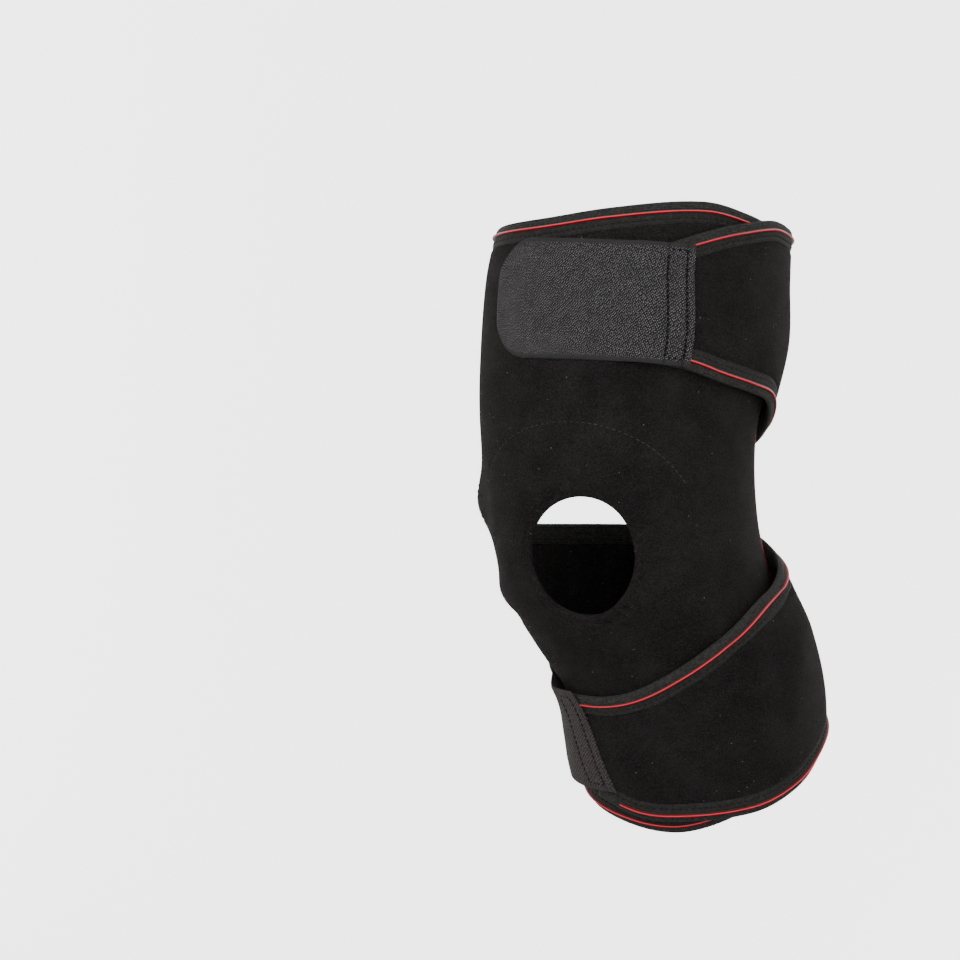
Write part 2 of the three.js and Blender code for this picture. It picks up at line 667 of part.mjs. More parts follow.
const sleeve = new THREE.Group();
sleeve.add(
  piece('wrap_sheet', wrapSheet(), pile),
  piece('opening_hem', sweep(opening, HEM_PROFILE, { closed: true }), pile),
  piece('edge_binding', binding(outer), tape),
  piece('notch_binding', binding(notch), tape),
  piece('edge_piping', edgePiping(), piping),
  piece('notch_piping', notchPiping(), piping),
  piece('upper_hook_tab', hookTab({
    wingEnd: UPPER_WING_END,
    slant: 0,
    line: UPPER_TAB_LINE,
    length: UPPER_TAB_LENGTH,
    width: UPPER_TAB_WIDTH,
  }), hook),
  piece('lower_hook_tab', hookTab({
    wingEnd: LOWER_WING_END,
    slant: LOWER_WING_SLANT,
    line: LOWER_TAB_LINE,
    length: LOWER_TAB_LENGTH,
    width: LOWER_TAB_WIDTH,
  }), hook),
);

export default sleeve;
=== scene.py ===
import math

import bpy
import numpy as np
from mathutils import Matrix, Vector
from mathutils.kdtree import KDTree


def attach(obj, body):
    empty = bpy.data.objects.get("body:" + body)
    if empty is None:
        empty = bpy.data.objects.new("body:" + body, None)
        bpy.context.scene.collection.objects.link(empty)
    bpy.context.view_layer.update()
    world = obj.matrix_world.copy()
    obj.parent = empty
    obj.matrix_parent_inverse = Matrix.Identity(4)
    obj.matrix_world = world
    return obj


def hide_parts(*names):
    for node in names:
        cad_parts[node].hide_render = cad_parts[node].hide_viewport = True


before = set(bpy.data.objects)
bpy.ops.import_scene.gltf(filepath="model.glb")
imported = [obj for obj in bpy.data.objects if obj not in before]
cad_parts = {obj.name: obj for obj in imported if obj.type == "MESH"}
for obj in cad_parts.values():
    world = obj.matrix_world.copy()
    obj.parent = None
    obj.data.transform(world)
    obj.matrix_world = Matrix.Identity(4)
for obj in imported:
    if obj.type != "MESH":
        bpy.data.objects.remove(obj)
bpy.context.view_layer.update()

MM = 0.001

# Sizes in mm and degrees. Turn 0 is the front of the knee, +90 the left side as seen from the
# front, 180 the back and 270 the right side, and it runs on past 360 where the wrap laps.
REACH_UP = 160.0
REACH_DOWN = 128.0
KNEE_WIDTH = 118.0
KNEE_DEPTH = 118.0
SHEET = 3.5
BINDING_WIDTH = 10.0
PIPING_WIDTH = 1.35
PIPING_INSET = 4.4
OPENING_LENGTH = 57.0
OPENING_WIDTH = 46.0
OPENING_TURN = 0.8
OPENING_TILT = 41.6
CORNER_RADIUS = 17.0
LAP_LIFT = 5.65
LAP_RAMP = 32.0
LAP_LEAD = 5.0
INNER_END = -126.0
UPPER_WING_END = 330.0
LOWER_WING_END = 407.0
LOWER_WING_SLANT = 16.0
SLANT_START = 345.0
NOTCH_TURN = 91.0
NOTCH_PUCKER = 7.5
NOTCH_PUCKER_REACH = 15.0
UPPER_WING_FLARE = 1.0
LOWER_WING_FLARE = 4.0
LOWER_FLARE_DROP = 12.0
FLARE_REACH = 17.0
FLARE_TURN = 266.0
FLARE_SPREAD = 24.0
TAB_LAP_TURN = 13.0
TAB_RAMP = 16.0
TAB_CORNER = 22.0
PAD_RADIUS = 60.0  # padded ring round the kneecap opening, to its stitched arc
PAD_START = 24.0
PAD_FULL = 34.0
EDGE_IN = 1.3  # the sheet's raw edge, inside the fold of its tape
MM_PER_TURN = 1.06  # what a degree of turn measures at the knee, about
STATION = 1.8  # steps along the folded edges
RIM_STATION = 1.4  # steps round the kneecap opening
UPPER_TAB_LENGTH = 103.0
UPPER_TAB_WIDTH = 55.0
LOWER_TAB_LENGTH = 94.0
LOWER_TAB_WIDTH = 46.5
TAB_THICK = 1.25
TAB_GAP = 0.25  # between a tab and the cloth it lies on
SEAM_NEAR = 3.6  # rows that sew a tab to its wing, from the tab's own edge
SEAM_FAR = 11.8
SEAM_SIDE = 3.2  # rows of the same seam, from the tab's sides

# Soft forms of the worn cloth: how far each rises or sinks, then the turn or height it lies at
PAD_RISE = 0.8
GROOVE_SINK = 0.6
FOLD_RISE = 2.4
FOLD_TURN = 68.0
FOLD_HEIGHT = -16.5
DIP_SINK = 1.0
DIP_HEIGHT = -27.5
CREASE_RISE = 0.55
CREASE_TURN = 185.0
CREASE_HEIGHT = 24.0
WAVE_RISE = 0.35
WAVE_HEIGHT = 130.0
DRAG_RISE = 0.30
DRAG_HEIGHT = -85.0
CALM_RISE = 0.30

# Pitch and length of the stitches, and half the thickness of their thread
TAPE_STITCH = (3.1, 2.3)
TAPE_THREAD = 0.20
ARC_STITCH = (2.9, 2.1)
ARC_THREAD = 0.19
TAB_STITCH = (2.6, 1.9)
UPPER_TAB_THREAD = 0.40
LOWER_TAB_THREAD = 0.30

# Outline of the leg: height as a share of the reach, then shares of the knee's width and depth
LEG_SECTIONS = {
    "up": (-1.60, -1.20, -0.95, -0.75, -0.50, -0.30, -0.15, 0.10, 0.35, 0.60, 0.80, 0.97, 1.15),
    "wide": (0.371, 0.404, 0.418, 0.431, 0.452, 0.496, 0.493, 0.485, 0.508, 0.555, 0.543, 0.523, 0.545),
    "right": (0.212, 0.203, 0.180, 0.173, 0.178, 0.113, 0.048, -0.009, -0.038, -0.013, -0.012, 0.015, 0.051),
    "front": (0.470, 0.470, 0.465, 0.460, 0.460, 0.470, 0.500, 0.510, 0.500, 0.505, 0.530, 0.545, 0.560),
    "back": (0.500, 0.510, 0.515, 0.520, 0.515, 0.500, 0.490, 0.485, 0.490, 0.510, 0.540, 0.555, 0.575),
    "rear": (0.720, 0.535, 0.420, 0.315, 0.215, 0.120, 0.040, -0.005, 0.005, 0.045, 0.085, 0.110, 0.145),
}
ROUNDNESS = 2.2

# Folded edges of the sheet and middle lines of the tabs: (turn, height as a share of the reach)
TOP_EDGE = (
    (-126, 0.925), (-109, 0.930), (-71, 0.973), (-47, 1.000), (-10, 0.981), (21, 0.957),
    (56, 0.944), (90, 0.928), (150, 0.914), (210, 0.928), (258, 0.953), (278, 0.962),
    (302, 0.934), (316, 0.904), (330, 0.865),
)
BOTTOM_EDGE = (
    (-126, -0.620), (-109, -0.625), (-84, -0.745), (-60, -0.850), (-37, -0.942), (-12, -1.000),
    (8, -1.000), (32, -0.955), (60, -0.888), (90, -0.780), (130, -0.672), (170, -0.610),
    (205, -0.600), (232, -0.640), (255, -0.715), (268, -0.766), (292, -0.848), (316, -0.914),
    (350, -0.941), (370, -0.928), (391, -0.860),
)
NOTCH_TOP_EDGE = (
    (91, 0.222), (130, 0.234), (160, 0.247), (190, 0.266), (220, 0.303), (240, 0.358),
    (258, 0.425), (270, 0.456), (286, 0.473), (303, 0.494), (317, 0.522), (330, 0.538),
)
NOTCH_BOTTOM_EDGE = (
    (91, 0.084), (130, 0.081), (160, 0.078), (190, 0.069), (220, 0.050), (240, -0.004),
    (255, -0.060), (268, -0.105), (277, -0.137), (296, -0.201), (315, -0.273), (338, -0.379),
    (357, -0.449), (375, -0.484), (392, -0.484), (407, -0.470),
)
UPPER_TAB_LINE = ((317, 0.700), (344, 0.716), (383, 0.729), (400, 0.731))
LOWER_TAB_LINE = ((377, -0.650), (407, -0.628), (430, -0.578), (455, -0.502), (490, -0.412))


# The surface that every piece lies on

def smooth_curve(places, values):
    """Cubic curve through the values, with slopes from their neighbours."""
    places = np.array(places, float)
    values = np.array(values, float)
    last = len(places) - 1
    before = np.maximum(np.arange(last + 1) - 1, 0)
    after = np.minimum(np.arange(last + 1) + 1, last)
    slopes = (values[after] - values[before]) / (places[after] - places[before])

    def curve(place):
        k = np.clip(np.searchsorted(places, place, side="right") - 1, 0, last - 1)
        step = places[k + 1] - places[k]
        s = (place - places[k]) / step
        rise = s * s * (3 - 2 * s)
        ends = slopes[k] * s * (1 - s) ** 2 + slopes[k + 1] * s * s * (s - 1)
        return values[k] * (1 - rise) + values[k + 1] * rise + ends * step

    return curve


def reach(share):
    return share * (REACH_DOWN if share < 0 else REACH_UP)


def edge_curve(rows):
    return smooth_curve([turn for turn, _ in rows], [reach(up) for _, up in rows])


def leg_curve(column, size):
    heights = [reach(up) for up in LEG_SECTIONS["up"]]
    return smooth_curve(heights, [share * size for share in LEG_SECTIONS[column]])


top_edge = edge_curve(TOP_EDGE)
bottom_edge = edge_curve(BOTTOM_EDGE)
notch_top = edge_curve(NOTCH_TOP_EDGE)
notch_bottom = edge_curve(NOTCH_BOTTOM_EDGE)
LEG = {
    "wide": leg_curve("wide", KNEE_WIDTH),
    "right": leg_curve("right", KNEE_WIDTH),
    "front": leg_curve("front", KNEE_DEPTH),
    "back": leg_curve("back", KNEE_DEPTH),
    "rear": leg_curve("rear", KNEE_DEPTH),
}


def smoothstep(value, start, end):
    s = np.clip((value - start) / (end - start), 0, 1)
    return s * s * (3 - 2 * s)


def bell(distance, spread):
    return np.exp(-((distance / spread) ** 2))


def leg_point(turn, height):
    turn, height = np.broadcast_arrays(np.asarray(turn, float), np.asarray(height, float))
    side = np.sin(np.radians(turn))
    ahead = np.cos(np.radians(turn))
    power = np.abs(side) ** ROUNDNESS + np.abs(ahead) ** ROUNDNESS
    rounding = power ** (-1 / ROUNDNESS)
    depth = np.where(ahead > 0, LEG["front"](height), LEG["back"](height))
    x = LEG["right"](height) - LEG["wide"](height) * side * rounding
    y = LEG["rear"](height) - depth * ahead * rounding
    return np.stack([x, y, height], -1)


def leg_frame(turn, height):
    around = leg_point(turn + 0.5, height) - leg_point(turn - 0.5, height)
    upward = leg_point(turn, height + 0.5) - leg_point(turn, height - 0.5)
    outward = np.cross(upward, around)
    outward /= np.linalg.norm(outward, axis=-1, keepdims=True)
    return around, upward, outward


def turn_length(turn, height):
    return np.linalg.norm(leg_frame(turn, height)[0], axis=-1)


notch_middle = float(notch_top(NOTCH_TURN) + notch_bottom(NOTCH_TURN)) / 2
notch_radius = float(notch_top(NOTCH_TURN) - notch_bottom(NOTCH_TURN)) / 2
notch_scale = float(turn_length(NOTCH_TURN, notch_middle))
notch_tip = NOTCH_TURN - notch_radius / notch_scale


def ring_distance(turn, height):
    """Distance from the middle of the kneecap opening, and the direction from straight up."""
    across = (turn - OPENING_TURN) * turn_length(OPENING_TURN, 0)
    return np.hypot(across, height), np.degrees(np.arctan2(across, height))


def relief(turn, height):
    """Soft forms of the worn sheet, as far as they stand out of it."""
    return (
        padded_ring(turn, height) + back_creases(turn, height) + wing_waves(turn, height)
        + drag_lines(turn, height) + left_fold(turn, height) + slow_waves(turn, height)
    )


def padded_ring(turn, height):
    """Pad round the kneecap opening, with a stitched groove over it."""
    far, way = ring_distance(turn, height)
    outer_slope = smoothstep(far, PAD_RADIUS - 10, PAD_RADIUS + 2)
    pad = PAD_RISE * smoothstep(far, PAD_START, PAD_FULL) * (1 - outer_slope)
    groove = -GROOVE_SINK * bell(far - PAD_RADIUS, 1.4) * (1 - smoothstep(np.abs(way), 48, 66))
    return (pad + groove) * bell(turn - OPENING_TURN, 75)


def back_creases(turn, height):
    """Creases across the back of the knee."""
    rows = np.sin(height / 5.2 + 0.6 * np.sin(turn / 19))
    return CREASE_RISE * rows * bell(height - CREASE_HEIGHT, 30) * bell(turn - CREASE_TURN, 55)


def wing_waves(turn, height):
    """Waves in the upper wing, before its tab."""
    wing = smoothstep(turn, 268, 290) * (1 - smoothstep(turn, 300, 316))
    return WAVE_RISE * np.sin(height / 6.5 + turn / 9) * wing * bell(height - WAVE_HEIGHT, 30)


def drag_lines(turn, height):
    """Slanting lines where the lower wing is pulled towards its tab."""
    lines = DRAG_RISE * np.sin((turn - 0.55 * height) / 7.5) * smoothstep(turn, 325, 350)
    return lines * (1 - smoothstep(turn, 372, 388)) * bell(height - DRAG_HEIGHT, 26)


def left_fold(turn, height):
    """Fold at the left of the knee, with a dip under it."""
    rise = FOLD_RISE * bell(height - FOLD_HEIGHT, 7.5) - DIP_SINK * bell(height - DIP_HEIGHT, 3.0)
    return rise * bell(turn - FOLD_TURN, 15)


def slow_waves(turn, height):
    """Slight unevenness of the whole sheet."""
    return CALM_RISE * np.sin(turn / 13.7 + height / 31) * np.sin(height / 17.3 - turn / 41)


def sheet_lift(turn, height):
    start = INNER_END + 360 - LAP_LEAD
    lap = LAP_LIFT * smoothstep(turn, start - LAP_RAMP, start)
    flare = bell(turn - FLARE_TURN, FLARE_SPREAD)
    upper = UPPER_WING_FLARE * flare * bell(height - notch_top(turn), FLARE_REACH)
    bulge = notch_bottom(turn) - LOWER_FLARE_DROP
    lower = LOWER_WING_FLARE * flare * bell(height - bulge, FLARE_REACH)
    across = (turn - notch_tip) * notch_scale
    pucker = NOTCH_PUCKER * bell(np.hypot(across, height - notch_middle), NOTCH_PUCKER_REACH)
    return lap + upper + lower + pucker


def sheet_point(turn, height, depth):
    """Point at a depth of the sheet, in mm: depth 0 is its inner face."""
    outward = leg_frame(turn, height)[2]
    rise = sheet_lift(turn, height) + relief(turn, height) + depth
    return leg_point(turn, height) + outward * np.asarray(rise)[..., None]


# Edges of the sheet, drawn in from the fold by an inset

corner_scale = {
    side: float(turn_length(INNER_END, centre))
    for side, centre in (
        (1, top_edge(INNER_END) - CORNER_RADIUS),
        (-1, bottom_edge(INNER_END) + CORNER_RADIUS),
    )
}


def steepness(edge, turn):
    """How much longer a mm across a sloping edge is when it is counted straight up."""
    rise = (edge(turn + 0.5) - edge(turn - 0.5)) / turn_length(turn, edge(turn))
    return np.sqrt(1 + rise * rise)


def outer_line(turn, side, inset=0.0):
    """Height of the sheet's top (side 1) or bottom (side -1) edge, round at the sheet's start."""
    turn = np.asarray(turn, float)
    edge = top_edge if side > 0 else bottom_edge
    start = float(edge(INNER_END))
    scale = corner_scale[side]
    corner = INNER_END + CORNER_RADIUS / scale
    line = start + (edge(turn) - start) * smoothstep(turn, corner, corner + 12)
    radius = CORNER_RADIUS - inset
    short = np.clip(radius - ((turn - INNER_END) * scale - inset), 0, radius)
    rounded = start - side * (CORNER_RADIUS - np.sqrt(radius**2 - short**2))
    return np.where(turn < corner, rounded, line - side * inset * steepness(edge, turn))


def notch_line(turn, side, inset=0.0):
    """Height of the notch's upper (side 1) or lower (side -1) edge, round at its end."""
    turn = np.asarray(turn, float)
    edge = notch_top if side > 0 else notch_bottom
    radius = notch_radius + inset
    short = np.maximum(NOTCH_TURN - turn, 0) * notch_scale
    opened = np.sqrt(np.maximum(radius**2 - short**2, 0))
    straight = edge(turn) + side * inset * steepness(edge, turn)
    return np.where(turn < NOTCH_TURN, notch_middle + side * opened, straight)


def leaning(turn, share):
    """The lower wing's end slants, so its columns lean the more, the nearer they are to it."""
    lean = np.clip((turn - SLANT_START) / (LOWER_WING_END - SLANT_START), 0, 1)
    return turn - LOWER_WING_SLANT * (1 - share) * lean


def lower_half(turn, share, inset=0.0):
    place = leaning(turn, share)
    low = outer_line(place, -1, inset)
    return place, low + (notch_line(place, -1, inset) - low) * share


def upper_half(turn, share, inset=0.0):
    low = notch_line(turn, 1, inset)
    return turn + 0 * share, low + (outer_line(turn, 1, inset) - low) * share


# Contours of the folded edges, with the sheet on the left

def run_along(points):
    """Length of a polyline up to each of its points."""
    return np.concatenate([[0], np.cumsum(np.linalg.norm(np.diff(points, axis=0), axis=1))])


def even(contour, spacing, closed=False):
    """The contour again, with stations that lie a fixed distance apart on the surface."""
    contour = np.array(contour, float)
    if closed:
        contour = np.vstack([contour, contour[:1]])
    run = run_along(sheet_point(contour[:, 0], contour[:, 1], SHEET / 2))
    count = int(round(run[-1] / spacing))
    wanted = np.linspace(0, run[-1], count + 1)
    stations = np.stack([np.interp(wanted, run, contour[:, k]) for k in (0, 1)], 1)
    return stations[:-1] if closed else stations


def outer_contour():
    top_turns = np.arange(UPPER_WING_END, INNER_END + CORNER_RADIUS / corner_scale[1], -1.0)
    low_turns = np.arange(INNER_END + CORNER_RADIUS / corner_scale[-1], LOWER_WING_END + 0.5, 1.0)
    top = [(turn, float(outer_line(turn, 1))) for turn in top_turns]
    bottom = [tuple(map(float, lower_half(turn, 0.0))) for turn in low_turns]
    corners = []
    for side, start, end in ((1, 90, 180), (-1, 180, 270)):
        edge = top_edge if side > 0 else bottom_edge
        centre = float(edge(INNER_END)) - side * CORNER_RADIUS
        for angle in np.radians(np.linspace(start, end, 16)):
            across = CORNER_RADIUS * (1 + math.cos(angle)) / corner_scale[side]
            corners.append((INNER_END + across, centre + CORNER_RADIUS * math.sin(angle)))
    return even(top + corners + bottom, STATION)


def notch_contour():
    turns = np.arange(NOTCH_TURN, LOWER_WING_END + 0.5, 1.0)
    lower = [tuple(map(float, lower_half(turn, 1.0))) for turn in turns[::-1]]
    angles = np.radians(np.linspace(-90, -270, 33)[1:-1])
    tip_turns = NOTCH_TURN + notch_radius * np.cos(angles) / notch_scale
    tip = list(zip(tip_turns, notch_middle + notch_radius * np.sin(angles)))
    turns = np.arange(NOTCH_TURN, UPPER_WING_END + 0.5, 1.0)
    upper = [(turn, float(notch_line(turn, 1))) for turn in turns]
    return even(lower + tip + upper, STATION)


def opening_contour():
    tilt = math.radians(OPENING_TILT)
    scale = float(turn_length(OPENING_TURN, 0))
    angles = -np.linspace(0, 2 * math.pi, 181)[:-1]
    across = OPENING_WIDTH / 2 * np.cos(angles)
    along = OPENING_LENGTH / 2 * np.sin(angles)
    turns = OPENING_TURN + (math.cos(tilt) * across - math.sin(tilt) * along) / scale
    heights = math.sin(tilt) * across + math.cos(tilt) * along
    return even(np.stack([turns, heights], 1), RIM_STATION, closed=True)


def opening_share(turn, height, grow=0.0):
    """1 on the opening's outline grown by that much, less inside it."""
    tilt = math.radians(OPENING_TILT)
    side = (turn - OPENING_TURN) * float(turn_length(OPENING_TURN, 0))
    across = math.cos(tilt) * side + math.sin(tilt) * height
    along = -math.sin(tilt) * side + math.cos(tilt) * height
    return np.hypot(across / (OPENING_WIDTH / 2 + grow), along / (OPENING_LENGTH / 2 + grow))


def beside(contour, inset, depth, closed=False):
    """Points at each (inset, depth) beside every station: arrays give one row per station."""
    if closed:
        travel = np.roll(contour, -1, 0) - np.roll(contour, 1, 0)
    else:
        travel = np.gradient(contour, axis=0)
    around, upward, outward = leg_frame(contour[:, 0], contour[:, 1])
    inward = np.cross(around * travel[:, :1] + upward * travel[:, 1:], outward)
    inward /= np.linalg.norm(inward, axis=1, keepdims=True)
    aa, au, uu = ((a * b).sum(1) for a, b in ((around, around), (around, upward), (upward, upward)))
    turn_part, height_part = (inward * around).sum(1), (inward * upward).sum(1)
    scale = 1 / (aa * uu - au * au)
    turn_step = (turn_part * uu - height_part * au) * scale
    height_step = (height_part * aa - turn_part * au) * scale
    inset = np.asarray(inset, float)
    turns = contour[:, :1] + turn_step[:, None] * inset
    heights = contour[:, 1:] + height_step[:, None] * inset
    return sheet_point(turns, heights, np.broadcast_to(depth, turns.shape))


# Meshes

def make_piece(name, points, faces, material, uv=None, node=None):
    mesh = bpy.data.meshes.new(name)
    mesh.from_pydata((np.asarray(points) * MM).tolist(), [], faces)
    mesh.polygons.foreach_set("use_smooth", [True] * len(mesh.polygons))
    if uv is not None:
        corners = np.zeros(len(mesh.loops), np.int64)
        mesh.loops.foreach_get("vertex_index", corners)
        layer = mesh.uv_layers.new(name="UVMap")
        layer.data.foreach_set("uv", np.asarray(uv, float)[corners].ravel())
    mesh.materials.append(material)
    mesh.update()
    piece = bpy.data.objects.new(name, mesh)
    bpy.context.scene.collection.objects.link(piece)
    if node:
        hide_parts(node)
    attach(piece, "root")
    return piece


def ring_faces(stations, sides, closed):
    """Faces of a sweep, with flat ends where it is open."""
    faces = []
    spans = stations if closed else stations - 1
    for span in range(spans):
        here = span * sides
        there = (span + 1) % stations * sides
        for side in range(sides):
            other = (side + 1) % sides
            faces.append((here + side, there + side, there + other, here + other))
    if not closed:
        faces.append(tuple(range(sides)))
        faces.append(tuple(range(stations * sides - 1, (stations - 1) * sides - 1, -1)))
    return faces


def swept(name, contour, profile, material, node=None, closed=False, wobble=None):
    """Sweep of a closed profile of (inset, depth) along a contour. UV: cm along and round it."""
    profile = np.array(profile, float)
    inset = np.broadcast_to(profile[:, 0], (len(contour), len(profile))).copy()
    depth = np.broadcast_to(profile[:, 1], inset.shape).copy()
    if wobble is not None:
        depth += wobble[:, None]
    points = beside(contour, inset, depth, closed)
    along = run_along(points.mean(1))
    round_it = run_along(profile)
    uv = np.stack(np.broadcast_arrays(along[:, None], round_it[None, :]), -1).reshape(-1, 2) / 10
    faces = ring_faces(len(contour), len(profile), closed)
    return make_piece(name, points.reshape(-1, 3), faces, material, uv, node)


# Rings of a stitch: share of its length, rise and half thickness in thread radii
STITCH_RINGS = (
    (0.0, -1.3, 0.75), (0.22, 0.25, 1.0), (0.5, 0.55, 1.05), (0.78, 0.25, 1.0), (1.0, -1.3, 0.75),
)
STITCH_SIDES = 6


def stitches(name, starts, ends, ups, radius, material, slot):
    """Short threads that dip into the cloth at both ends, joined in one mesh."""
    along = ends - starts
    across = np.cross(ups, along)
    across /= np.linalg.norm(across, axis=1, keepdims=True)
    points, faces = [], []
    for share, rise, thick in STITCH_RINGS:
        centre = starts + along * share + ups * (radius * rise)
        for side in range(STITCH_SIDES):
            angle = 2 * math.pi * side / STITCH_SIDES
            outward = across * math.cos(angle) + ups * math.sin(angle)
            points.append(centre + outward * radius * thick)
    points = np.stack(points, 1)
    per = points.shape[1]
    pattern = ring_faces(len(STITCH_RINGS), STITCH_SIDES, False)
    for k in range(len(starts)):
        faces += [tuple(k * per + corner for corner in face) for face in pattern]
    return make_piece(name, points.reshape(-1, 3), faces, material)


def stitch_row(points, ups, pitch, length):
    """Starts, ends and outward directions of even stitches along a polyline."""
    run = run_along(points)
    starts = np.arange(0.5 * (pitch - length), run[-1] - length, pitch)

    def at(values, where):
        return np.stack([np.interp(where, run, values[:, k]) for k in range(3)], 1)

    lift = at(ups, starts + length / 2)
    lift /= np.linalg.norm(lift, axis=1, keepdims=True)
    return at(points, starts), at(points, starts + length), lift


def stacked(rows):
    """Starts, ends and outward directions of all the rows, each in one array."""
    return [np.vstack(parts) for parts in zip(*rows)]


def contour_row(contour, inset, depth, side=1):
    """Polyline beside a contour and its outward directions, side -1 on the inner face."""
    points = beside(contour, np.array([inset]), depth)[:, 0]
    above = beside(contour, np.array([inset]), depth + side)[:, 0]
    return points, above - points


def slab(faces, count):
    """The faces, the same turned over on the points after count, and the walls between."""
    edges = {}
    for face in faces:
        for a, b in zip(face, face[1:] + face[:1]):
            if (b, a) in edges:
                del edges[(b, a)]
            else:
                edges[(a, b)] = True
    back = [tuple(corner + count for corner in reversed(face)) for face in faces]
    return faces + back + [(b, a, a + count, b + count) for a, b in edges]


# Materials

def add(tree, kind, sockets=None, **settings):
    node = tree.nodes.new(kind)
    for key, value in settings.items():
        setattr(node, key, value)
    for key, value in (sockets or {}).items():
        if isinstance(value, bpy.types.NodeSocket):
            tree.links.new(value, node.inputs[key])
        else:
            node.inputs[key].default_value = value
    return node


def calc(tree, operation, *values):
    return add(tree, "ShaderNodeMath", dict(enumerate(values)), operation=operation).outputs[0]


def blend_colour(tree, factor, first, second):
    node = tree.nodes.new("ShaderNodeMix")
    node.data_type = "RGBA"
    for key, value in ((0, factor), (6, first), (7, second)):
        if isinstance(value, bpy.types.NodeSocket):
            tree.links.new(value, node.inputs[key])
        else:
            node.inputs[key].default_value = value if key == 0 else (*value, 1)
    return node.outputs[2]


def noise(tree, where, scale, detail=2.0, roughness=0.5):
    sockets = {"Vector": where, "Scale": scale, "Detail": detail, "Roughness": roughness}
    return add(tree, "ShaderNodeTexNoise", sockets).outputs["Fac"]


def ramped(tree, value, low, high):
    sockets = {"Value": value, "From Min": low, "From Max": high}
    return add(tree, "ShaderNodeMapRange", sockets, interpolation_type="SMOOTHSTEP").outputs[0]


def new_material(name, roughness, sheen=0.0, sheen_tint=(1, 1, 1), specular=0.1):
    material = bpy.data.materials.new(name)
    material.use_nodes = True
    tree = material.node_tree
    shader = tree.nodes["Principled BSDF"]
    shader.inputs["Roughness"].default_value = roughness
    shader.inputs["Sheen Weight"].default_value = sheen
    shader.inputs["Sheen Roughness"].default_value = 0.45
    shader.inputs["Sheen Tint"].default_value = (*sheen_tint, 1)
    shader.inputs["Specular IOR Level"].default_value = specular
    return material, tree, shader


def finish_material(tree, shader, colour, height, distance, strength):
    sockets = {"Height": height, "Distance": distance, "Strength": strength}
    bump = add(tree, "ShaderNodeBump", sockets)
    tree.links.new(colour, shader.inputs["Base Color"])
    tree.links.new(bump.outputs[0], shader.inputs["Normal"])


def even_waves(tree, place, pitch):
    """Waves along a UV place, which counts in cm, with a pitch in mm."""
    return calc(tree, "SINE", calc(tree, "MULTIPLY", place, 2 * math.pi * 10 / pitch))


def one_channel(tree, colour, channel):
    return add(tree, "ShaderNodeSeparateColor", {0: colour}).outputs[channel]


def pile_material(name, dark, light, sheen):
    """Brushed loop pile: fine tangled loops, cloudy wear and a few specks of lint."""
    material, tree, shader = new_material(
        name, roughness=0.95, sheen=sheen, sheen_tint=(1.0, 0.62, 0.66), specular=0.03
    )
    where = add(tree, "ShaderNodeTexCoord").outputs["Object"]
    loops = add(tree, "ShaderNodeTexVoronoi", {"Vector": where, "Scale": 1150.0})
    fibres = noise(tree, where, scale=1700.0, detail=3.0, roughness=0.6)
    clouds = noise(tree, where, scale=55.0, detail=3.0)
    mottled = calc(tree, "MULTIPLY_ADD", fibres, 0.76, calc(tree, "MULTIPLY", clouds, 0.24))
    colour = blend_colour(tree, ramped(tree, mottled, low=0.34, high=0.66), dark, light)
    cells = add(tree, "ShaderNodeTexVoronoi", {"Vector": where, "Scale": 340.0})
    rare = calc(tree, "GREATER_THAN", one_channel(tree, cells.outputs["Color"], 0), 0.86)
    small = calc(tree, "LESS_THAN", cells.outputs["Distance"], 0.10)
    lint = calc(tree, "MULTIPLY", calc(tree, "MULTIPLY", small, rare), 0.55)
    colour = blend_colour(tree, lint, colour, (0.13, 0.125, 0.12))
    pits = calc(tree, "MULTIPLY", loops.outputs["Distance"], -0.5)
    height = calc(tree, "MULTIPLY_ADD", fibres, 0.7, pits)
    finish_material(tree, shader, colour, height, distance=0.0009, strength=0.9)
    return material


def tape_material(name, dark, light):
    """Ribbed binding tape: ribs along it, a fine weave across, and darker inside its piping."""
    material, tree, shader = new_material(
        name, roughness=0.85, sheen=0.02, sheen_tint=(0.85, 0.82, 0.75), specular=0.06
    )
    uv = add(tree, "ShaderNodeTexCoord").outputs["UV"]
    where = add(tree, "ShaderNodeSeparateXYZ", {0: uv})
    ribs = even_waves(tree, where.outputs[1], pitch=1.15)
    loops = calc(tree, "MULTIPLY", ribs, even_waves(tree, where.outputs[0], pitch=0.62))
    grain = noise(tree, add(tree, "ShaderNodeTexCoord").outputs["Object"], scale=900.0)
    shade = calc(tree, "MULTIPLY_ADD", ribs, 0.08, calc(tree, "MULTIPLY_ADD", loops, 0.10, grain))
    colour = blend_colour(tree, ramped(tree, shade, low=0.2, high=0.85), dark, light)
    round_it = calc(tree, "MULTIPLY", where.outputs[1], 10.0)
    inner = calc(tree, "MULTIPLY", ramped(tree, round_it, low=5.6, high=4.8), 0.35)
    colour = blend_colour(tree, inner, colour, dark)
    height = calc(tree, "MULTIPLY_ADD", ribs, 0.5, calc(tree, "MULTIPLY", loops, 0.25))
    finish_material(tree, shader, colour, height, distance=0.00015, strength=0.8)
    return material


def piping_material(name, round_mm):
    """Red piping: painted highlight along its crown, painted shade where it curves into the tape, fine cross
    cords.
    """
    material, tree, shader = new_material(name, roughness=0.5, specular=0.2)
    uv = add(tree, "ShaderNodeTexCoord").outputs["UV"]
    where = add(tree, "ShaderNodeSeparateXYZ", {0: uv})
    from_crown = calc(tree, "SUBTRACT", where.outputs[1], round_mm / 20)
    middle = calc(tree, "MULTIPLY", calc(tree, "ABSOLUTE", from_crown), 10.0)
    # painted highlight on the cord's crown and painted shade on its flanks
    crown = ramped(tree, middle, low=0.52, high=0.14)
    cords = even_waves(tree, where.outputs[0], pitch=0.55)
    colour = blend_colour(tree, crown, (0.10, 0.002, 0.004), (0.52, 0.038, 0.052))
    finish_material(tree, shader, colour, cords, distance=0.00008, strength=0.6)
    return material


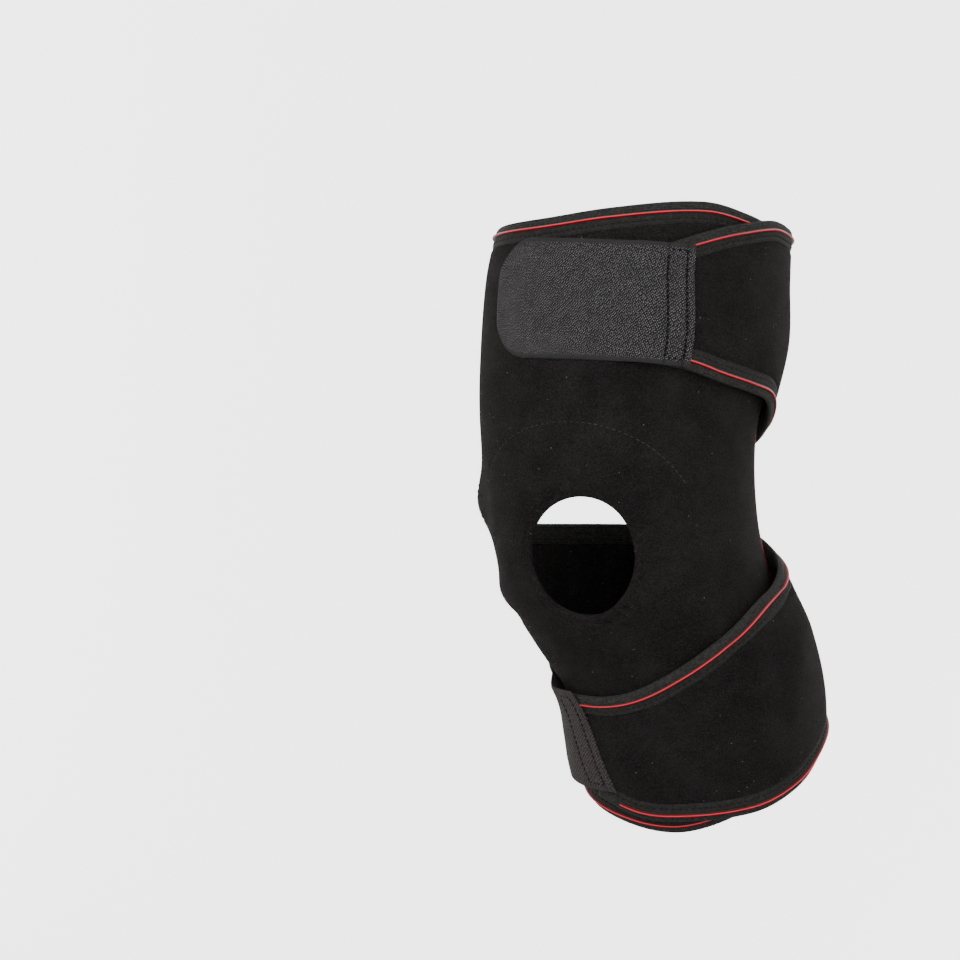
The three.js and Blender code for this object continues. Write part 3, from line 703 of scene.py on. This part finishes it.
def hook_material(name, width, dark, fleck, selvedge, painted_seam_shade):
    """Woven hook tape back: slanting rows of lighter flecks, plain selvedges, painted shade in its sewn
    grooves.
    """
    material, tree, shader = new_material(
        name, roughness=0.85, sheen=0.02, sheen_tint=(0.95, 0.92, 0.95), specular=0.08
    )
    uv = add(tree, "ShaderNodeTexCoord").outputs["UV"]
    where = add(tree, "ShaderNodeSeparateXYZ", {0: uv})
    slant = {"Vector": uv, "Rotation": (0, 0, math.radians(33)), "Scale": (12.4, 9.3, 1)}
    turned = add(tree, "ShaderNodeMapping", slant).outputs[0]
    rows = {"Vector": turned, "Scale": 1.0, "Randomness": 0.42}
    lattice = add(tree, "ShaderNodeTexVoronoi", rows, voronoi_dimensions="2D")
    shade = one_channel(tree, lattice.outputs["Color"], 1)
    patches = calc(tree, "MULTIPLY", noise(tree, uv, scale=1.6, detail=3.0), 0.9)
    strength = calc(tree, "MULTIPLY_ADD", shade, 0.6, patches)
    spots = ramped(tree, lattice.outputs["Distance"], low=0.40, high=0.10)
    dots = calc(tree, "MULTIPLY", spots, strength)
    from_middle = calc(tree, "ABSOLUTE", calc(tree, "SUBTRACT", where.outputs[1], width / 20))
    from_middle = calc(tree, "MULTIPLY", from_middle, 10.0)
    plain = ramped(tree, from_middle, low=width / 2 - 2.4, high=width / 2 - 1.6)
    woven = blend_colour(tree, dots, dark, fleck)
    flat = blend_colour(tree, noise(tree, uv, scale=22.0), dark, selvedge)
    colour = blend_colour(tree, plain, woven, flat)
    # painted shade: the tape darkens along the two sewn grooves across it
    along = calc(tree, "MULTIPLY", where.outputs[0], 10.0)
    first = calc(tree, "ABSOLUTE", calc(tree, "SUBTRACT", along, SEAM_NEAR))
    second = calc(tree, "ABSOLUTE", calc(tree, "SUBTRACT", along, SEAM_FAR))
    seam = ramped(tree, calc(tree, "MINIMUM", first, second), low=0.85, high=0.30)
    seam = calc(tree, "MULTIPLY", seam, painted_seam_shade)
    colour = blend_colour(tree, seam, colour, (0.004, 0.004, 0.004))
    height = calc(tree, "MULTIPLY", dots, calc(tree, "SUBTRACT", 1.0, plain))
    finish_material(tree, shader, colour, height, distance=0.00035, strength=0.8)
    return material


def thread_material(name, colour):
    """Twisted sewing thread."""
    material, tree, shader = new_material(name, roughness=0.85, specular=0.05)
    where = add(tree, "ShaderNodeTexCoord").outputs["Object"]
    twist = noise(tree, where, scale=2500.0)
    shades = blend_colour(tree, twist, tuple(c * 0.6 for c in colour), colour)
    finish_material(tree, shader, shades, twist, distance=0.0001, strength=0.5)
    return material


pile = pile_material(
    "loop_pile", dark=(0.0040, 0.0038, 0.0037), light=(0.0152, 0.0145, 0.0140), sheen=0.012
)
tape = tape_material(
    "ribbed_tape", dark=(0.0105, 0.0105, 0.0098), light=(0.0285, 0.0285, 0.0262)
)
upper_hook = hook_material(
    "hook_twill", UPPER_TAB_WIDTH, dark=(0.0100, 0.0096, 0.0100), fleck=(0.150, 0.145, 0.148),
    selvedge=(0.029, 0.028, 0.029), painted_seam_shade=0.40,
)
lower_hook = hook_material(
    "hook_twill_lower", LOWER_TAB_WIDTH, dark=(0.0210, 0.0178, 0.0173), fleck=(0.078, 0.066, 0.064),
    selvedge=(0.038, 0.033, 0.032), painted_seam_shade=0.20,
)
black_thread = thread_material("black_thread", (0.006, 0.0055, 0.0055))
brown_thread = thread_material("brown_black_thread", (0.011, 0.0095, 0.009))
grey_thread = thread_material("grey_black_thread", (0.040, 0.037, 0.036))


# The sheet

COLUMN_STEP = 1.9
ROWS = 40
BORDER_ROWS = np.array([0.0, 3.5, 6.5, 8.3, 9.4, 10.6, 12.2, 14.2])
RIM_CUT = 2.2  # how far the sheet stops short of the hem's fold

outer = outer_contour()
notch = notch_contour()
opening = opening_contour()


def fold_distance(turns, heights, points):
    """Distance of each point from the nearest folded edge of its own layer."""
    line = np.vstack([outer, notch])
    spots = sheet_point(line[:, 0], line[:, 1], SHEET / 2)
    tree = KDTree(len(line))
    for k, (turn, height) in enumerate(line):
        tree.insert((turn * MM_PER_TURN, height, 0), k)
    tree.balance()
    result = np.empty(len(turns))
    for k, (turn, height) in enumerate(zip(turns, heights)):
        near = [index for _, index, _ in tree.find_n((turn * MM_PER_TURN, height, 0), 3)]
        low, high = max(min(near) - 3, 0), max(near) + 4
        if high - low > 20:
            low, high = near[0] - 3, near[0] + 4
        result[k] = np.linalg.norm(spots[max(low, 0):high] - points[k], axis=1).min()
    return result


def half_columns(turns, half):
    """[turn, height] rows of each column: closer along the tapes' inner edges."""
    columns = []
    for turn in turns:
        wide = float(half(turn, 1.0, EDGE_IN)[1] - half(turn, 0.0, EDGE_IN)[1])
        border = BORDER_ROWS / max(wide, 40.0)
        inner = np.linspace(border[-1], 1 - border[-1], ROWS + 2)[1:-1]
        shares = np.concatenate([border, inner, (1 - border)[::-1]])
        place, height = half(turn, shares, EDGE_IN)
        columns.append(np.stack([np.broadcast_to(place, shares.shape), height], 1))
    return columns


def column_turns():
    """Turns of the lower and upper halves' columns, which part at the notch's tip."""
    first = INNER_END + EDGE_IN / corner_scale[1] + 0.01
    tip = notch_tip - EDGE_IN / notch_scale
    corner = CORNER_RADIUS / corner_scale[1]
    start = first + corner * (1 - np.cos(np.linspace(0, math.pi / 2, 11)))
    body = np.arange(start[-1] + COLUMN_STEP, tip - 1.2, COLUMN_STEP)
    bend = NOTCH_TURN - (NOTCH_TURN - tip) * np.cos(np.linspace(0, math.pi / 2, 12))[1:]
    shared = np.concatenate([start, body, [tip], bend])
    lower = np.linspace(NOTCH_TURN, LOWER_WING_END, 168)[1:]
    upper = np.linspace(NOTCH_TURN, UPPER_WING_END, 127)[1:]
    return np.concatenate([shared, lower]), np.concatenate([shared, upper])


def sheet_grid():
    """Places (turn, height) of the sheet's grid, and the faces between them."""
    numbers, places, faces = {}, [], []

    def number(place):
        key = (round(place[0], 4), round(place[1], 4))
        if key not in numbers:
            numbers[key] = len(places)
            places.append(place)
        return numbers[key]

    for turns, half in zip(column_turns(), (lower_half, upper_half)):
        ids = [[number(place) for place in column] for column in half_columns(turns, half)]
        for left, right in zip(ids, ids[1:]):
            for row in range(len(left) - 1):
                face = (left[row], left[row + 1], right[row + 1], right[row])
                if len(set(face)) == 4:
                    faces.append(face)
                elif len(set(face)) == 3:
                    faces.append(tuple(dict.fromkeys(face)))
    return np.array(places), faces


def cut_opening(places, faces):
    """The grid without the kneecap opening, with the places nearest to it pulled to its rim."""
    share = opening_share(places[:, 0], places[:, 1], RIM_CUT)
    faces = [face for face in faces if share[list(face)].min() > 0.955]
    near = np.unique([corner for face in faces for corner in face if share[corner] < 1.035])
    pull = 1 / share[near]
    places[near, 0] = OPENING_TURN + (places[near, 0] - OPENING_TURN) * pull
    places[near, 1] *= pull
    used = np.unique(np.concatenate([np.array(face) for face in faces]))
    renumber = -np.ones(len(places), int)
    renumber[used] = np.arange(len(used))
    faces = [tuple(int(renumber[corner]) for corner in face) for face in faces]
    return places[used], faces


def build_sheet():
    """The sheet, squeezed thin inside its tapes and a little at the opening's hem."""
    places, faces = cut_opening(*sheet_grid())
    turns, heights = places.T
    far = fold_distance(turns, heights, sheet_point(turns, heights, SHEET / 2))
    rim = (opening_share(turns, heights) - 1) * OPENING_WIDTH / 2
    squeeze = 1.15 * (1 - smoothstep(far, 8.9, 11.8)) - 0.30 * bell(far - 14.5, 3.5)
    squeeze = np.maximum(squeeze, 0.12 * (1 - smoothstep(rim, RIM_CUT, 5.0)))
    outer_face = sheet_point(turns, heights, SHEET - squeeze)
    inner_face = sheet_point(turns, heights, np.maximum(squeeze, 0) * 0.8)
    uv = np.vstack([places, places]) * (MM_PER_TURN, 1.0) / 100
    points = np.vstack([outer_face, inner_face])
    faces = slab(faces, len(places))
    return make_piece("sleeve_sheet", points, faces, pile, uv, "wrap_sheet")


sheet = build_sheet()

# Hem of the kneecap opening, a soft rolled rim. Profiles are (inset from the fold, depth)
HEM = (
    (5.2, 2.5), (4.2, 2.9), (3.2, 3.2), (2.4, 3.38), (1.5, 3.28), (0.60, 2.80), (0.10, 2.0),
    (0.05, 1.4), (0.45, 0.65), (1.4, 0.1), (2.6, -0.1), (3.8, 0.1), (5.2, 0.8),
)
hem = swept("opening_rim", opening, HEM, pile, "opening_hem", closed=True)

# Folded tape and piping

TAPE = (
    (BINDING_WIDTH, 2.75), (9.7, 3.05), (9.2, 3.20), (8.2, 3.27), (6.5, 3.36), (4.8, 3.40), (3.2, 3.36),
    (1.9, 3.22), (1.0, 2.95), (0.42, 2.55), (0.10, 2.1), (0.0, 1.75), (0.10, 1.4), (0.42, 0.95),
    (1.0, 0.55), (1.9, 0.3), (3.5, 0.2), (6.0, 0.2), (8.5, 0.3), (9.6, 0.45), (BINDING_WIDTH, 0.75),
)


def piping_profile(foot, crown):
    """Half round of the piping between two depths, with a foot in the tape."""
    half = PIPING_WIDTH / 2
    angles = np.linspace(0, math.pi, 9)
    insets = PIPING_INSET + half * np.cos(angles)
    arc = list(zip(insets, foot + (crown - foot) * np.sin(angles)))
    return [(PIPING_INSET + half, foot - 0.4), *arc, (PIPING_INSET - half, foot - 0.4)]


def piece_of(contour, first_end, last_end):
    """The contour between two turns, on its way to the least turn and back."""
    back = int(np.argmin(contour[:, 0]))
    way = np.arange(len(contour))
    keep = np.where(way < back, contour[:, 0] < first_end, contour[:, 0] < last_end)
    return contour[keep]


def wavy(contour, size, first, second):
    """Small rise and fall of a tape along its length."""
    run = np.arange(len(contour)) * STATION
    return size * (np.sin(run / first) * 0.6 + np.sin(run / second + 1.3) * 0.4)


edge_tape = swept(
    "edge_tape", outer, TAPE, tape, "edge_binding",
    wobble=wavy(outer, size=0.12, first=17, second=6.3),
)
notch_tape = swept(
    "notch_tape", notch, TAPE, tape, "notch_binding",
    wobble=wavy(notch, size=0.12, first=15, second=7.1),
)
PIPING = piping_profile(foot=3.45, crown=4.55)
red = piping_material("red_piping", float(run_along(np.array(PIPING))[-1]))

# The piping stops under the tabs, and sinks into its tape round the notch's round end
upper_stop = UPPER_WING_END - TAB_LAP_TURN + 4
lower_stop = LOWER_WING_END - TAB_LAP_TURN + 2
edge_line = piece_of(outer, upper_stop, lower_stop - LOWER_WING_SLANT)
notch_red_line = piece_of(notch, lower_stop, upper_stop)
notch_sink = -1.6 * (1 - smoothstep(notch_red_line[:, 0], 90, 104))
edge_red = swept("edge_red_piping", edge_line, PIPING, red, "edge_piping")
notch_red = swept(
    "notch_red_piping", notch_red_line, PIPING, red, "notch_piping", wobble=notch_sink
)

# A row of stitches on each face of the tapes
rows = []
for contour in (outer, notch):
    rows.append(stitch_row(*contour_row(contour, inset=7.6, depth=3.32), *TAPE_STITCH))
    rows.append(stitch_row(*contour_row(contour, inset=7.6, depth=0.22, side=-1), *TAPE_STITCH))
tape_stitches = stitches("tape_stitches", *stacked(rows), TAPE_THREAD, brown_thread, "binding_tape")

# Stitched arc over the padded ring

arc_ways = np.radians(np.linspace(-58, 58, 90))
arc_scale = float(turn_length(OPENING_TURN, 0))
arc_turns = OPENING_TURN + PAD_RADIUS * np.sin(arc_ways) / arc_scale
arc_heights = PAD_RADIUS * np.cos(arc_ways)
arc_points = sheet_point(arc_turns, arc_heights, SHEET + 0.12)
arc_ups = sheet_point(arc_turns, arc_heights, SHEET + 1.12) - arc_points
arc_row = stitch_row(arc_points, arc_ups, *ARC_STITCH)
arc_stitches = stitches("arc_stitches", *arc_row, ARC_THREAD, grey_thread, "pile_fabric")

# Hook tabs

TAB_ACROSS = np.concatenate([[-1, -0.985, -0.955], np.linspace(-0.92, 0.92, 27), [0.955, 0.985, 1]])


def tab_place(share, across, start, span, slant, middle, length, width):
    """Turn and height at a share of a tab's length and, from -1 to 1, of its width."""
    rounding = TAB_CORNER / length
    from_end = np.maximum(1 - (1 - share) / rounding, 0)
    half = width / 2 - TAB_CORNER * (1 - np.sqrt(np.maximum(1 - from_end**2, 0)))
    turn = start + span * share - slant * (1 - share) * (1 - across) / 2
    return turn, middle(turn) + half * across


def tab_point(turn, height, depth, wing_end):
    """Point over a tab's seat: on its wing's end first, then down on the sheet under it."""
    climb = LAP_LIFT * (1 - smoothstep(turn, wing_end + 1, wing_end + 1 + TAB_RAMP))
    outward = leg_frame(turn, height)[2]
    rise = climb + relief(turn - 360, height) * 0.7 + SHEET + depth
    return leg_point(turn, height) + outward * np.asarray(rise)[..., None]


def tab_shares(length):
    """Shares of a tab's length: close over its sewn end and round its free end."""
    rounding = TAB_CORNER / length
    sewn = np.arange(1.2, 14.5, 0.6) / length
    straight = np.linspace(15.5 / length, 1 - rounding, 42)[:-1]
    rounded = 1 - rounding * (1 - np.sin(np.linspace(0, math.pi / 2, 18)))
    return np.concatenate([[0, 0.004, 0.010], sewn, straight, rounded])


def tab_depths(share, side, length, width):
    """How high a tab's top and under face lie over its seat."""
    from_edge = np.minimum((1 - np.abs(side)) * width / 2, np.minimum(share, 1 - share) * length)
    rim = 0.55 * (1 - smoothstep(from_edge, 0.0, 1.3))
    ripple = 0.12 * np.sin(share * 17 + side * 1.4) + 0.10 * np.sin(side * 9 + share * 5)
    free_end = 0.35 * smoothstep(share, 0.9, 1.0) * (1 - np.abs(side) * 0.3)
    lift = TAB_GAP + free_end + ripple * 0.6
    along = share * length
    groove = 0.30 * bell(np.minimum(np.abs(along - SEAM_NEAR), np.abs(along - SEAM_FAR)), 0.8)
    return lift + TAB_THICK - rim - groove, lift + 0.05


def seam_box(length, width):
    """Ends of the four rows that sew a tab on, as shares of its length and width."""
    near, far, side = SEAM_NEAR / length, SEAM_FAR / length, 1 - 2 * SEAM_SIDE / width
    return (
        ((near, -side), (near, side)), ((far, -side), (far, side)),
        ((near, side), (far, side)), ((near, -side), (far, -side)),
    )


def hook_tab(name, node, wing_end, slant, line, length, width, material, thread, thick):
    """A tab that starts on a wing's end, runs on over the sheet and ends round."""
    start = wing_end - TAB_LAP_TURN
    middle = edge_curve(line)
    turns = start + np.arange(0, 140.0)
    run = run_along(tab_point(turns, middle(turns), 0.75, wing_end))
    span = float(np.interp(length, run, turns)) - start
    shape = (start, span, slant, middle, length, width)
    share, side = np.meshgrid(tab_shares(length), TAB_ACROSS, indexing="ij")
    turn, height = tab_place(share, side, *shape)
    depths = tab_depths(share, side, length, width)
    points = np.concatenate([tab_point(turn, height, depth, wing_end) for depth in depths])
    ids = np.arange(share.size).reshape(share.shape)
    quads = np.stack([ids[:-1, :-1], ids[:-1, 1:], ids[1:, 1:], ids[1:, :-1]], -1).reshape(-1, 4)
    faces = slab([tuple(quad) for quad in quads.tolist()], share.size)
    uv = np.stack([share * length, side * width / 2 + width / 2], -1).reshape(-1, 2) / 10
    uv = np.vstack([uv, uv])
    piece = make_piece(name, points.reshape(-1, 3), faces, material, uv, node)
    rows = []
    for first, last in seam_box(length, width):
        shares = np.linspace(first[0], last[0], 60)
        turns, heights = tab_place(shares, np.linspace(first[1], last[1], 60), *shape)
        points = tab_point(turns, heights, TAB_GAP + 1.12, wing_end)
        ups = tab_point(turns, heights, TAB_GAP + 2.12, wing_end) - points
        rows.append(stitch_row(points, ups, *TAB_STITCH))
    stitches(f"{name}_stitches", *stacked(rows), thick, thread, "hook_tape")
    return piece


upper_tab = hook_tab(
    "upper_tab", "upper_hook_tab", UPPER_WING_END, 0.0, UPPER_TAB_LINE,
    UPPER_TAB_LENGTH, UPPER_TAB_WIDTH, upper_hook, black_thread, UPPER_TAB_THREAD,
)
lower_tab = hook_tab(
    "lower_tab", "lower_hook_tab", LOWER_WING_END, LOWER_WING_SLANT, LOWER_TAB_LINE,
    LOWER_TAB_LENGTH, LOWER_TAB_WIDTH, lower_hook, brown_thread, LOWER_TAB_THREAD,
)

# Studio

FLOOR_REACH = 2.4
FLOOR_DROP = 0.55
WALL_BEND = 1.4
WALL_TOP = 2.6
FLOOR_SIDES = 96
PAPER_GLOW = 0.62
ROOM_LIGHT = 0.74

# Name, place, target, size across and power of each soft light, in metres and watts
LIGHTS = (
    ("key", (-0.3, -2.1, 1.2), (0, 0, 0), 1.4, 26),
    ("fill", (1.2, -1.9, 0.0), (0, 0, 0), 1.4, 16),
    ("back", (0.3, 1.6, 1.7), (0, 0, 0), 1.2, 16),
    ("backdrop_left", (-2.7, 1.8, 0.6), (-1.6, 3.5, 0.2), 1.4, 60),
    ("backdrop_right", (0.6, 2.2, 0.6), (-1.4, 3.5, 0.1), 1.4, 60),
)


def backdrop():
    """Round pale floor that curves up into a wall."""
    material, _, shader = new_material("studio_paper", roughness=0.9)
    shader.inputs["Base Color"].default_value = (0.98, 0.98, 0.98, 1)
    shader.inputs["Emission Color"].default_value = (1, 1, 1, 1)
    shader.inputs["Emission Strength"].default_value = PAPER_GLOW
    profile = [(FLOOR_REACH, 0.0)]
    for a in np.linspace(0.1, math.pi / 2, 12):
        profile.append((FLOOR_REACH + WALL_BEND * math.sin(a), WALL_BEND * (1 - math.cos(a))))
    profile.append((FLOOR_REACH + WALL_BEND, WALL_TOP))
    angles = [2 * math.pi * k / FLOOR_SIDES for k in range(FLOOR_SIDES)]
    points = [(r * math.cos(a), r * math.sin(a), z - FLOOR_DROP) for r, z in profile for a in angles]
    faces = [tuple(range(FLOOR_SIDES))]
    for ring in range(len(profile) - 1):
        for k in range(FLOOR_SIDES):
            a, b = ring * FLOOR_SIDES + k, ring * FLOOR_SIDES + (k + 1) % FLOOR_SIDES
            faces.append((a, b, b + FLOOR_SIDES, a + FLOOR_SIDES))
    mesh = bpy.data.meshes.new("studio_floor")
    mesh.from_pydata(points, [], faces)
    mesh.polygons.foreach_set("use_smooth", [True] * len(mesh.polygons))
    mesh.materials.append(material)
    floor = bpy.data.objects.new("studio_floor", mesh)
    bpy.context.scene.collection.objects.link(floor)


def area_light(name, place, target, size, power):
    data = bpy.data.lights.new(name, "AREA")
    data.shape = "DISK"
    data.size = size
    data.energy = power
    light = bpy.data.objects.new(name, data)
    light.location = place
    light.rotation_euler = (Vector(target) - Vector(place)).to_track_quat("-Z", "Y").to_euler()
    bpy.context.scene.collection.objects.link(light)


backdrop()
world = bpy.data.worlds.new("studio")
world.use_nodes = True
world.node_tree.nodes["Background"].inputs["Color"].default_value = (1, 1, 1, 1)
world.node_tree.nodes["Background"].inputs["Strength"].default_value = ROOM_LIGHT
bpy.context.scene.world = world
for light_row in LIGHTS:
    area_light(*light_row)

# Camera at the photograph's angle: 24 degrees round to the right of the knee's front
CAMERA_TURN = math.radians(24)
CAMERA_PLACE = (0.5881, -1.4896, 0.0339)
CAMERA_LENS = 128.5
camera_data = bpy.data.cameras.new("camera")
camera_data.sensor_width = 36
camera_data.lens = CAMERA_LENS
camera_data.clip_end = 50
camera = bpy.data.objects.new("camera", camera_data)
camera.location = CAMERA_PLACE
camera.rotation_euler = (math.pi / 2, 0, CAMERA_TURN)
bpy.context.scene.collection.objects.link(camera)
bpy.context.scene.camera = camera

bpy.context.view_layer.update()
